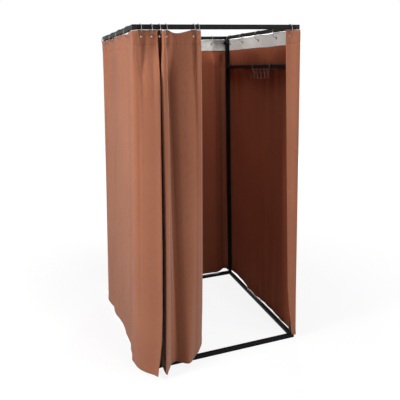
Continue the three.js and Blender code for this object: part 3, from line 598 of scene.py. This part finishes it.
def left_stations():
    """The left wall, and on round the front left post."""
    wrap, last = LEFT_WRAP
    # Header place, shoulder place in mm (None keeps the header's), whether a ring hangs there
    around = [
        ((LEFT_LINE / 2, 3 * TUBE), (-2.0, 80.0), False),
        ((OUT_LEFT / 2, 2 * TUBE), (-10.0, 55.0), False),
        ((OUT_LEFT, TUBE), (-13.0, 33.0), False),
        ((OUT_LEFT, HALF_TUBE), (-11.0, 18.0), False),
        ((OUT_LEFT / 2, OUT_FRONT / 2), (-5.5, 4.5), False),
        ((HALF_TUBE, OUT_FRONT), (8.0, -6.0), False),
        ((TUBE - OUT_FRONT / 2, OUT_FRONT / 2), (None, -10.0), False),
        ((wrap - EYELET_FLAT, FRONT_LINE), (None, -12.5), False),
        ((wrap, FRONT_LINE), (None, -14.0), True),
        ((wrap + EYELET_FLAT, FRONT_LINE), (None, -15.5), False),
        (((wrap + last) / 2, FRONT_LINE - POST_CLEARANCE), (None, -19.0), False),
        ((last - EYELET_FLAT, FRONT_LINE), (None, -22.5), False),
        ((last, FRONT_LINE), (None, -24.0), True),
        ((last + EYELET_FLAT, FRONT_LINE), (None, -25.5), False),
        ((last + 0.8 * TUBE, FRONT_LINE - POST_CLEARANCE / 2), (None, -27.0), False),
        ((last + TUBE, HALF_TUBE / 2), (None, -28.0), False),
        ((last + 1.22 * TUBE, POST_CLEARANCE / 2), (None, -28.5), False),
    ]
    start = back_post_stations(OUT_LEFT, 0, left_hem)
    rail = rail_stations(LEFT_RINGS, lambda y, wave: (LEFT_LINE - wave, y), left_hem)
    wrapped = [
        (top, (-LEFT_FLARE * across, -FRONT_FLARE * out), ring, (top[0] if x is None else x * MM, y * MM))
        for (top, (x, y), ring), (across, out) in zip(around, LEFT_WRAP_HEM_SHARES)
    ]
    return start + rail + wrapped


def front_stations():
    """The front curtain drawn back: fixed edge, narrow pleat, shadowed valley and outer fold."""
    def hem_at(along, out):
        """A hem place from shares of the hem's reach and of the front flare."""
        return (FRONT_HEM_REACH * along, -FRONT_FLARE * out)

    def at_ring(index, hand=1):
        """Stations before, at and after a ring, or the other way round where the cloth runs back."""
        stations = []
        hems, shoulders = FRONT_RING_HEM_SHARES[index], FRONT_RING_SHOULDERS[index]
        for step, hem, (aside, out) in zip((-1, 0, 1), hems, shoulders):
            x = FRONT_RINGS[index] + hand * step * EYELET_FLAT
            shoulder = (x + EYELET_FLAT * aside, -FRONT_FLARE * out)
            stations.append(((x, FRONT_LINE), hem_at(*hem), step == 0, shoulder))
        return stations

    def between(table, index):
        """Stations from one ring to the next, by a table of shares."""
        before, after = FRONT_RINGS[index], FRONT_RINGS[index + 1]

        def plan_at(part, out):
            return (before + (after - before) * part, -FRONT_FLARE * out)

        return [
            (plan_at(part, out), hem_at(along, hem_out), False, plan_at(*(shoulder or (part, out))))
            for part, out, *shoulder, along, hem_out in table
        ]

    edge_back, edge_along, edge_out = FRONT_EDGE_SHARES
    edge = (FRONT_RINGS[0] - TUBE - POST_CLEARANCE, FRONT_LINE + FRONT_FLARE * edge_back)
    return [
        (edge, hem_at(edge_along, edge_out), False),
        *at_ring(0),
        *between(PLEAT_SHARES, 0),
        *at_ring(1),
        *between(VALLEY_SHARES, 1),
        *at_ring(2),
        *between(FOLD_SHARES, 2),
        *at_ring(3, hand=-1),
    ]


def right_stations():
    """The right wall, and on round the front right post."""
    def hem_at(across, out):
        """A hem place from shares of the right and of the front flare."""
        return (ROOM_WIDTH + RIGHT_FLARE * across, -FRONT_FLARE * out)

    start = back_post_stations(OUT_RIGHT, ROOM_WIDTH, right_hem)
    rail = rail_stations(RIGHT_RINGS, lambda y, wave: (RIGHT_LINE + wave, y), right_hem)
    wrapped = [
        ((ROOM_WIDTH - HALF_TUBE / 2, 3 * TUBE), right_hem(3 * TUBE), False),
        ((ROOM_WIDTH - OUT_FRONT / 2, 2 * TUBE), right_hem(2 * TUBE), False),
        ((OUT_RIGHT, TUBE), hem_at(0.2, -0.2), False),
        ((OUT_RIGHT, HALF_TUBE), hem_at(0.2, -0.06), False),
        ((ROOM_WIDTH - OUT_FRONT / 2, OUT_FRONT / 2), hem_at(0.1, 0.06), False),
        ((RIGHT_LINE, OUT_FRONT), hem_at(-0.2, 0.12), False),
        ((ROOM_WIDTH - TUBE, OUT_FRONT / 2), hem_at(-0.62, 0.14), False),
        ((RIGHT_WRAP + EYELET_FLAT, FRONT_LINE), hem_at(-1.0, 0.12), False),
        ((RIGHT_WRAP, FRONT_LINE), hem_at(-1.25, 0.1), True),
        ((RIGHT_WRAP - EYELET_FLAT, FRONT_LINE), hem_at(-1.5, 0.07), False),
        ((RIGHT_WRAP - TUBE, FRONT_LINE), hem_at(-1.75, 0.04), False),
    ]
    return start + rail + wrapped


def back_stations():
    """The back wall, outside both back posts."""
    start = [
        ((HALF_TUBE / 2, OUT_BACK), back_hem(0), False),
        ((TUBE, OUT_BACK), back_hem(TUBE), False),
        ((2 * TUBE - POST_CLEARANCE, ROOM_DEPTH), back_hem(2 * TUBE - POST_CLEARANCE), False),
    ]
    end = [
        ((ROOM_WIDTH - 4 * TUBE, ROOM_DEPTH), back_hem(ROOM_WIDTH - 4 * TUBE), False),
        ((ROOM_WIDTH - 2 * TUBE, OUT_BACK), back_hem(ROOM_WIDTH - 2 * TUBE), False),
        ((ROOM_WIDTH - TUBE, OUT_BACK), back_hem(ROOM_WIDTH - TUBE), False),
        ((ROOM_WIDTH - HALF_TUBE / 2, OUT_BACK), back_hem(ROOM_WIDTH), False),
    ]
    return start + rail_stations(BACK_RINGS, lambda x, wave: (x, BACK_LINE + wave), back_hem) + end


# Hung cloth
# Shares of the way down between which the folds fade in
FOLD_FADE = (0.012, 0.06)
FOLD_FADES = {"back": (0.035, 0.09)}
# Each fold: place share, half width mm, size at header mm, size at hem mm, lean mm
FOLDS = {
    "left": [(0.12, 60, 2, 6, 0), (0.22, 40, 1, -5, 10), (0.33, 55, 2, 7, 0), (0.45, 35, 1, -4, -10),
             (0.56, 60, 2, 5, 10), (0.66, 30, 1, -4, 0), (0.8, 25, 2, 4, 5)],
    "front": [(0.75, 40, 2, 3, 0)],
    "right": [(0.09, 36, 5, 3, 0), (0.2, 42, 6, 4, 0), (0.31, 28, -1, -5, 8), (0.45, 45, -1, -5, 0),
              (0.55, 26, 6, 3, -8), (0.65, 36, 7, 4, 0), (0.77, 28, -1, -5, 5)],
    "back": [(0.15, 50, 2, 4, 0), (0.4, 50, -2, -5, 0), (0.62, 45, 2, 6, 0), (0.76, 35, 6, 8, 0),
             (0.865, 34, -22, -18, 0), (0.955, 26, 22, 24, 0)],
}
# How a curtain's last edge shifts along X: share of the way down, shift in mm
EDGE_BULGES = {
    "left": [(0.04, 0), (0.3, 7), (0.6, 18), (0.82, 23), (0.9, 21), (0.95, 12), (1, 0)],
    "front": [(0.5, 0), (0.75, 8), (0.9, 10), (1, 0)],
    "right": [(0.83, 0), (0.9, 8), (0.96, 20), (1, 27)],
}


def past_bar(top_x, hem_x, height):
    """The right curtain's X place at a height: under its rail, outside the bar, then down to the hem."""
    out = np.maximum(top_x, BAR_CLEAR)
    down = smooth_step(-height, -TAPE_BOTTOM, -BAR_TOP_ROW)
    below = np.clip((BAR_LOW_ROW - height) / (BAR_LOW_ROW - HEM_HEIGHT), 0, 1)
    return top_x + (out - top_x) * down + (hem_x - out) * below


def bell(distance, width):
    """1 at no distance, falling off smoothly over a width."""
    return np.exp(-((distance / width) ** 2))


class Hung:
    """A curtain's surface as a grid of columns along its width and rows down its height.

    Drape is how late the cloth leaves the header's plan for the hem's. Outward is 1 or -1: the side of its
    run that the relief stands out on.
    """

    def __init__(self, name, stations, drape, outward, beside_bar=False):
        self.name = name
        self.drape = drape
        self.outward = outward
        self.beside_bar = beside_bar
        self.tops = np.array([s[0] for s in stations], float)
        self.hems = np.array([s[1] for s in stations], float)
        self.shoulders = np.array([s[3] if len(s) > 3 else s[0] for s in stations], float)
        self.rings = [i for i, s in enumerate(stations) if s[2]]
        gaps = np.linalg.norm(np.diff(self.tops[self.rings], axis=0), axis=1)
        self.sags = gaps * SAG_SHARES[name]
        self.skews = np.ones(len(gaps))
        for index, share, skew in LOOSE_GAPS.get(name, ()):
            self.sags[index], self.skews[index] = gaps[index] * share, skew
        fine = np.linspace(0, len(stations) - 1, SAMPLES_A_STATION * len(stations))
        steps = (np.diff(spline(line, fine), axis=0) for line in (self.tops, self.hems))
        top_run, hem_run = (np.linalg.norm(step, axis=1) for step in steps)
        length = np.concatenate([[0], np.cumsum((top_run + hem_run) / 2)])
        self.width = float(length[-1])
        self.along = np.linspace(0, self.width, int(self.width / COLUMN_PITCH) + 1)
        self.stations = np.interp(self.along, length, fine)
        self.ring_along = [float(np.interp(r, fine, length)) for r in self.rings]
        self.heights = self.row_heights()

    def row_heights(self):
        """Rows close together at the header and the hem, wider between."""
        header = np.arange(CLOTH_TOP, TAPE_BOTTOM - HEADER_REACH, -HEADER_PITCH)
        body = np.linspace(header[-1], HEM_HEIGHT + HEM_FOLD + HEM_REACH, BODY_ROWS)[1:]
        hem = np.linspace(body[-1], HEM_HEIGHT, HEM_ROWS)[1:]
        return np.concatenate([header, body, hem])

    def dip(self, along):
        """How far the top edge dips between two rings."""
        sag = np.zeros_like(along)
        for index, (before, after) in enumerate(zip(self.ring_along, self.ring_along[1:])):
            inside = (along > before) & (along < after)
            share = ((along[inside] - before) / (after - before)) ** self.skews[index]
            sag[inside] = self.sags[index] * np.sin(np.pi * share) ** 2
        return sag

    def surface(self, stations, along, heights):
        """Points of the surface, one row of points for each height."""
        top, hem, shoulder = (spline(line, stations)[None] for line in (self.tops, self.hems, self.shoulders))
        share = (np.clip(TAPE_BOTTOM - heights, 0, None) / (TAPE_BOTTOM - HEM_HEIGHT)) ** self.drape
        share = share[:, None, None]
        eased = smooth_step(-heights, -SHOULDER_TOP, -SHOULDER_LOW)[:, None, None]
        plan = (top * (1 - eased) + shoulder * eased) * (1 - share) + hem * share
        z = np.repeat(heights[:, None], len(stations), axis=1)
        down = (CLOTH_TOP - z) / (CLOTH_TOP - HEM_HEIGHT)
        if self.beside_bar:
            beside = smooth_step(plan[..., Y], HALF_TUBE, TUBE)
            past = past_bar(top[..., X], hem[..., X], z)
            plan[..., X] = plan[..., X] * (1 - beside) + past * beside
        if self.name in EDGE_BULGES:
            edge = smooth_step(along, self.width - EDGE_WIDTH, self.width)[None, :]
            plan[..., X] += MM * edge * np.interp(down, *zip(*EDGE_BULGES[self.name]))
        z = z - self.dip(along)[None, :] * np.clip(1 - (CLOTH_TOP - z) / DIP_FADE, 0, 1)
        out = self.outward * self.relief(along[None, :], z)
        plan = plan + level_normals(np.gradient(plan, axis=1)) * out[..., None]
        return np.concatenate([plan + np.array(ORIGIN.xy), z[..., None]], axis=-1)

    def relief(self, along, height):
        """Folds, ripples, pinches and grooves that stand out from the plan's surface."""
        down = np.clip((CLOTH_TOP - height) / (CLOTH_TOP - HEM_HEIGHT), 0, 1)
        out = np.zeros(np.broadcast(along, height).shape)
        fade = smooth_step(down, *FOLD_FADES.get(self.name, FOLD_FADE))
        for place, width, top_size, hem_size, lean in FOLDS[self.name]:
            size = (top_size + (hem_size - top_size) * down) * fade
            out += size * MM * bell(along - place * self.width - lean * MM * down, width * MM)
        first, second = RIPPLE_WAVES
        ripple = np.sin(along * first + RIPPLE_SWAY * np.sin(down * RIPPLE_TURN))
        out += RIPPLE * ripple * np.sin(along * second + RIPPLE_SHIFT) * smooth_step(down, *RIPPLE_FADE)
        below = smooth_step(down, *PINCH_START) * (1 - smooth_step(down, *PINCH_END))
        for ring in self.ring_along:
            out -= PINCH_DEPTH * below * bell(along - ring, PINCH_WIDTH)
        for line in TAPE_LINES:
            out -= GROOVE_DEPTH * bell(height - line, GROOVE_WIDTH)
            out += PUCKER * np.sin(along * 2 * np.pi / PUCKER_PITCH) * bell(height - line, PUCKER_REACH)
        fold_line = -HEM_HEIGHT - HEM_FOLD
        return out + HEM_STEP * smooth_step(-height, fold_line - HEM_EASE, fold_line + HEM_EASE)

    def eyelets(self):
        """Each eyelet's centre."""
        height = RING_CENTRE - EYELET_BELOW_RING
        return [Vector((x + ORIGIN.x, y + ORIGIN.y, height)) for x, y in self.tops[self.rings]]


def grid_faces(points, centres):
    """Quads of a grid, leaving out those inside the eyelets' holes."""
    rows, columns = points.shape[:2]
    middle = (points[:-1, :-1] + points[1:, :-1] + points[:-1, 1:] + points[1:, 1:]) / 4
    keep = np.ones((rows - 1, columns - 1), bool)
    for centre in centres:
        keep &= np.linalg.norm(middle - np.array(centre), axis=-1) > CLOTH_HOLE
    firsts = (int(row * columns + column) for row, column in zip(*np.nonzero(keep)))
    return [(a, a + columns, a + columns + 1, a + 1) for a in firsts]


def loop_faces(around, across):
    """Quads of a closed loop of rings: how many rings go around, and how many points each has."""
    faces = []
    for ring in range(around):
        here, after = ring * across, (ring + 1) % around * across
        for side in range(across):
            beside = (side + 1) % across
            faces.append((here + side, here + beside, after + beside, after + side))
    return faces


def corner_points(mesh):
    """The point at each corner of a mesh's faces."""
    corners = np.empty(len(mesh.loops), int)
    mesh.loops.foreach_get("vertex_index", corners)
    return corners


def put_uvs(mesh, coordinates):
    """A metric UV layer from each point's place on the flat cloth."""
    layer = mesh.uv_layers.new(name="cloth")
    layer.data.foreach_set("uv", np.asarray(coordinates, float)[corner_points(mesh)].ravel())


def add_sheet(name, hung, points, heights, materials, thickness):
    """A sheet over a grid of points, with thickness, an outer and an inner material (the cloth's inner one carries
    painted shade) and holes at its eyelets.
    """
    front, back = materials[::hung.outward]
    piece = add_mesh(name, points.reshape(-1, 3), grid_faces(points, hung.eyelets()), front)
    piece.data.materials.append(back)
    put_uvs(piece.data, np.stack(np.meshgrid(hung.along, heights), axis=-1).reshape(-1, 2))
    bm = bmesh.new()
    bm.from_mesh(piece.data)
    bmesh.ops.delete(bm, geom=[v for v in bm.verts if not v.link_faces], context="VERTS")
    bm.to_mesh(piece.data)
    bm.free()
    solid = piece.modifiers.new("thickness", "SOLIDIFY")
    solid.thickness = thickness
    solid.offset = 0
    solid.use_even_offset = True
    solid.material_offset = 1
    return piece


def offset_points(points, step):
    """A grid of points moved along its surface's level normals."""
    moved = points.copy()
    moved[..., :2] += level_normals(np.gradient(points[..., :2], axis=1)) * step
    return moved


# Eyelets and rings
def add_eyelet(name, centre, axis, body):
    """A pressed metal eyelet: a rolled rim on both faces of the header."""
    profile = EYELET_RIM + [(radius, -depth) for radius, depth in reversed(EYELET_RIM)]
    turn = Vector((0, 0, 1)).rotation_difference(axis).to_matrix()
    points = []
    for k in range(EYELET_SIDES):
        angle = 2 * math.pi * k / EYELET_SIDES
        for radius, depth in profile:
            points.append(centre + turn @ Vector((radius * math.cos(angle), radius * math.sin(angle), depth)))
    piece = add_mesh(name, points, loop_faces(EYELET_SIDES, len(profile)), BRONZE)
    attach(piece, body)
    return piece


def add_ring(node, body):
    """A round wire ring in the place of its CAD ring."""
    low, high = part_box(node)
    centre = (low + high) / 2
    along_x = (high.x - low.x) < (high.y - low.y)
    points = []
    for i in range(RING_STEPS):
        a = 2 * math.pi * i / RING_STEPS
        for j in range(RING_SIDES):
            b = 2 * math.pi * j / RING_SIDES
            radius = RING_RADIUS + RING_WIRE * math.cos(b)
            level, height, depth = radius * math.cos(a), radius * math.sin(a), RING_WIRE * math.sin(b)
            offset = Vector((depth, level, height)) if along_x else Vector((level, depth, height))
            points.append(centre + offset)
    name = node.replace("_ring_", "_wire_ring_")
    piece = add_mesh(name, points, loop_faces(RING_STEPS, RING_SIDES), CHROME)
    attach(piece, body)
    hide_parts(node)


# The front curtain's draw
def ring_share(hung, along):
    """How far along the draw each place of the front curtain travels, as a blend place from 0 to 1."""
    travels = {joint["child"]: joint["range_m"][1] for joint in frame["joints"]}
    shares = [0.0, *(travels[body] / travels["lead_ring"] for body in ("second_ring", "third_ring")), 1.0]
    table = np.linspace(0, 1, EASE_SAMPLES)
    places = np.interp(shares, smooth_step(table, 0, 1), table)
    return np.interp(along, hung.ring_along, places)


def bend_with_draw(piece, hung):
    """Puts each point of a piece of the front curtain flat along X at its draw share, bakes the piece's transform
    into its mesh, and then puts the points back.
    """
    mesh = piece.data
    kept = np.empty(len(mesh.vertices) * 3)
    mesh.vertices.foreach_get("co", kept)
    flat = np.zeros((len(mesh.vertices), 3))
    flat[:, X] = ring_share(hung, along_of(mesh))
    mesh.vertices.foreach_set("co", flat.ravel())
    mesh.update()
    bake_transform(piece)
    mesh.vertices.foreach_set("co", kept)
    mesh.update()


def along_of(mesh):
    """Each point's place along the cloth, read from the metric UVs."""
    uv = np.empty(len(mesh.loops) * 2)
    mesh.uv_layers["cloth"].data.foreach_get("uv", uv)
    along = np.zeros(len(mesh.vertices))
    along[corner_points(mesh)] = uv.reshape(-1, 2)[:, 0]
    return along


# Stitches and the dressed curtains
def stitch_rows(hung, along, height):
    """The near ends, the middles and the far ends of one line of stitches on the cloth."""
    rows = []
    for shift in STITCH_SHIFTS:
        moved = along + shift * STITCH_LENGTH
        place = np.interp(moved, hung.along, hung.stations)
        rows.append(hung.surface(place, moved, np.array([height]))[0])
    return rows


def add_stitches(hung):
    """Lines of thread stitches on the outside: along both edges of the header tape and above the hem."""
    points, faces, places = [], [], []
    up = np.array([0, 0, 1.0])
    along = np.arange(STITCH_PITCH, hung.width - STITCH_PITCH, STITCH_PITCH)
    angles = [2 * math.pi * (side + 0.5) / STITCH_SIDES for side in range(STITCH_SIDES)]
    turns = [(math.cos(angle), math.sin(angle)) for angle in angles]
    for height in (*TAPE_LINES, HEM_LINE):
        rows = stitch_rows(hung, along, height)
        normals = level_normals((rows[-1] - rows[0])[:, :2]) * hung.outward
        for k, place in enumerate(along):
            base = len(points)
            out = np.array([*normals[k], 0])
            for row, size in zip(rows, STITCH_TAPER):
                ring = row[k] + out * CLOTH_THICKNESS / 2
                for outward, upward in turns:
                    points.append(ring + (out * outward + up * upward) * STITCH_RADIUS * size)
                    places.append(place)
            for part in range(len(rows) - 1):
                for side in range(STITCH_SIDES):
                    a = base + part * STITCH_SIDES + side
                    b = base + part * STITCH_SIDES + (side + 1) % STITCH_SIDES
                    faces.append((a, b, b + STITCH_SIDES, a + STITCH_SIDES))
            faces.append(tuple(base + side for side in reversed(range(STITCH_SIDES))))
            faces.append(tuple(len(points) - STITCH_SIDES + side for side in range(STITCH_SIDES)))
    piece = add_mesh(f"{hung.name}_stitches", points, faces, THREAD)
    put_uvs(piece.data, np.stack([np.array(places), np.zeros(len(places))], axis=1))
    return piece


BODY_OF = {node: body for body, nodes in frame["record"]["behaviour"]["bodies"].items() for node in nodes}


def dress_curtain(hung):
    """The cloth, its header tape, stitches, eyelets and rings."""
    name = hung.name
    points = hung.surface(hung.stations, hung.along, hung.heights)
    cloth = add_sheet(f"{name}_curtain_cloth", hung, points, hung.heights, (OUTER_CLOTH, INNER_CLOTH_PAINTED_SHADE),
                      CLOTH_THICKNESS)
    rows = hung.heights >= TAPE_BOTTOM
    inner = offset_points(points[rows], -hung.outward * TAPE_STEP)
    inner[0, :, 2] += TAPE_RISE
    tape = add_sheet(f"{name}_tape_band", hung, inner, hung.heights[rows], (INNER_TAPE, INNER_TAPE),
                     TAPE_THICKNESS)
    stitches = add_stitches(hung)
    for piece in (cloth, tape, stitches):
        if name == "front":
            bend_with_draw(piece, hung)
        else:
            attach(piece, "frame")
    for index, (centre, ring) in enumerate(zip(hung.eyelets(), hung.rings), 1):
        along = hung.tops[ring + 1] - hung.tops[ring - 1]
        axis = Vector((0, 1, 0)) if abs(along[X]) > abs(along[Y]) else Vector((1, 0, 0))
        body = BODY_OF[f"{name}_ring_{index}"]
        add_eyelet(f"{name}_eyelet_{index}", centre, axis, body)
        add_ring(f"{name}_ring_{index}", body)
    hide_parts(f"{name}_curtain")
    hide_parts(f"{name}_header_tape")


for curtain in (
    Hung("left", left_stations(), drape=1.1, outward=1),
    Hung("front", front_stations(), drape=1.4, outward=1),
    Hung("right", right_stations(), drape=1.0, outward=-1, beside_bar=True),
    Hung("back", back_stations(), drape=1.0, outward=-1),
):
    dress_curtain(curtain)


# Frame finishes
for node, piece in frame["nodes"].items():
    if node.startswith(("corner_", "knob_", "bar_plug")):
        coat = BLACK_PLASTIC
    elif node == "hook_rack":
        coat = RACK_CHROME_PAINTED_REFLECTION
    else:
        coat = BLACK_PAINT
    piece.data.materials.clear()
    piece.data.materials.append(coat)


# Studio: the floor's grey, the distances between which it lifts to white, and a weak plain world
FLOOR_LIT = 0.15
FLOOR_NEAR = 1.2
FLOOR_FAR = 4.0
FLOOR_SIZE = 30.0
FLOOR_ROUGHNESS = 0.9
AMBIENT = 0.02
WHITE = (1, 1, 1, 1)
LAMPS = {
    # name: place, target, size, power
    "left_key": ((-3.4, -1.0, 2.3), (-0.4, 0, 1.0), 1.1, 130),
    "right_fill": ((6.4, -6.2, 3.4), (0, 0, 1.0), 2.4, 265),
    "front_fill": ((1.6, -5.0, 2.6), (0, 0, 1.0), 1.0, 80),
    "back_fill": ((2.8, 5.6, 1.3), (0, 0, 1.0), 1.6, 230),
    "overhead": ((0.15, -0.5, 4.2), (0.15, 0, 2.0), 1.4, 62),
}


def joined(nodes, links, first, second, operation):
    """Two value sockets joined by a maths operation."""
    node = add_node(nodes, "ShaderNodeMath", operation=operation)
    links.new(first, node.inputs[0])
    links.new(second, node.inputs[1])
    return node.outputs["Value"]


def direct_view(nodes, links):
    """1 for rays that show the studio itself: from the camera, off gloss or through a clear piece."""
    path = nodes.new("ShaderNodeLightPath")
    shown = path.outputs["Is Camera Ray"]
    for kind in ("Is Glossy Ray", "Is Transmission Ray"):
        shown = joined(nodes, links, shown, path.outputs[kind], "MAXIMUM")
    return shown


def floor_material():
    """A pale floor that lifts to the backdrop's white away from the piece and keeps its shadow."""
    material, nodes, links, shader = new_material("studio_floor")
    set_inputs(shader, {"Base Color": (FLOOR_LIT, FLOOR_LIT, FLOOR_LIT, 1), "Roughness": FLOOR_ROUGHNESS,
                        "Specular IOR Level": 0.0, "Emission Color": WHITE})
    distance = add_node(nodes, "ShaderNodeVectorMath", operation="LENGTH")
    links.new(nodes.new("ShaderNodeTexCoord").outputs["Object"], distance.inputs[0])
    lift = mapped(nodes, links, distance.outputs["Value"], 1 - FLOOR_LIT, 1.0, FLOOR_NEAR, FLOOR_FAR)
    strength = joined(nodes, links, direct_view(nodes, links), lift, "MULTIPLY")
    links.new(strength, shader.inputs["Emission Strength"])
    return material


def studio_world():
    """A weak plain world that shows as white to the camera, to gloss and through clear pieces."""
    world = bpy.data.worlds.new("studio")
    bpy.context.scene.world = world
    world.use_nodes = True
    nodes, links = world.node_tree.nodes, world.node_tree.links
    nodes.clear()
    blend = nodes.new("ShaderNodeMixShader")
    links.new(direct_view(nodes, links), blend.inputs["Fac"])
    for index, strength in enumerate((AMBIENT, 1.0), 1):
        background = add_node(nodes, "ShaderNodeBackground", {"Color": WHITE, "Strength": strength})
        links.new(background.outputs["Background"], blend.inputs[index])
    links.new(blend.outputs["Shader"], nodes.new("ShaderNodeOutputWorld").inputs["Surface"])


def add_lamp(name, place, target, size, power):
    """A round area lamp at a place, facing a target."""
    data = bpy.data.lights.new(name, "AREA")
    data.shape = "DISK"
    data.size = size
    data.energy = power
    light = bpy.data.objects.new(name, data)
    light.location = place
    light.rotation_euler = (Vector(target) - Vector(place)).to_track_quat("-Z", "Y").to_euler()
    bpy.context.scene.collection.objects.link(light)


corners = [(x * FLOOR_SIZE, y * FLOOR_SIZE, 0) for x, y in ((-1, -1), (1, -1), (1, 1), (-1, 1))]
add_mesh("studio_floor", corners, [(0, 1, 2, 3)], floor_material(), smooth=False)
studio_world()
for lamp, setting in LAMPS.items():
    add_lamp(lamp, *setting)
bpy.context.scene.view_settings.view_transform = "Standard"
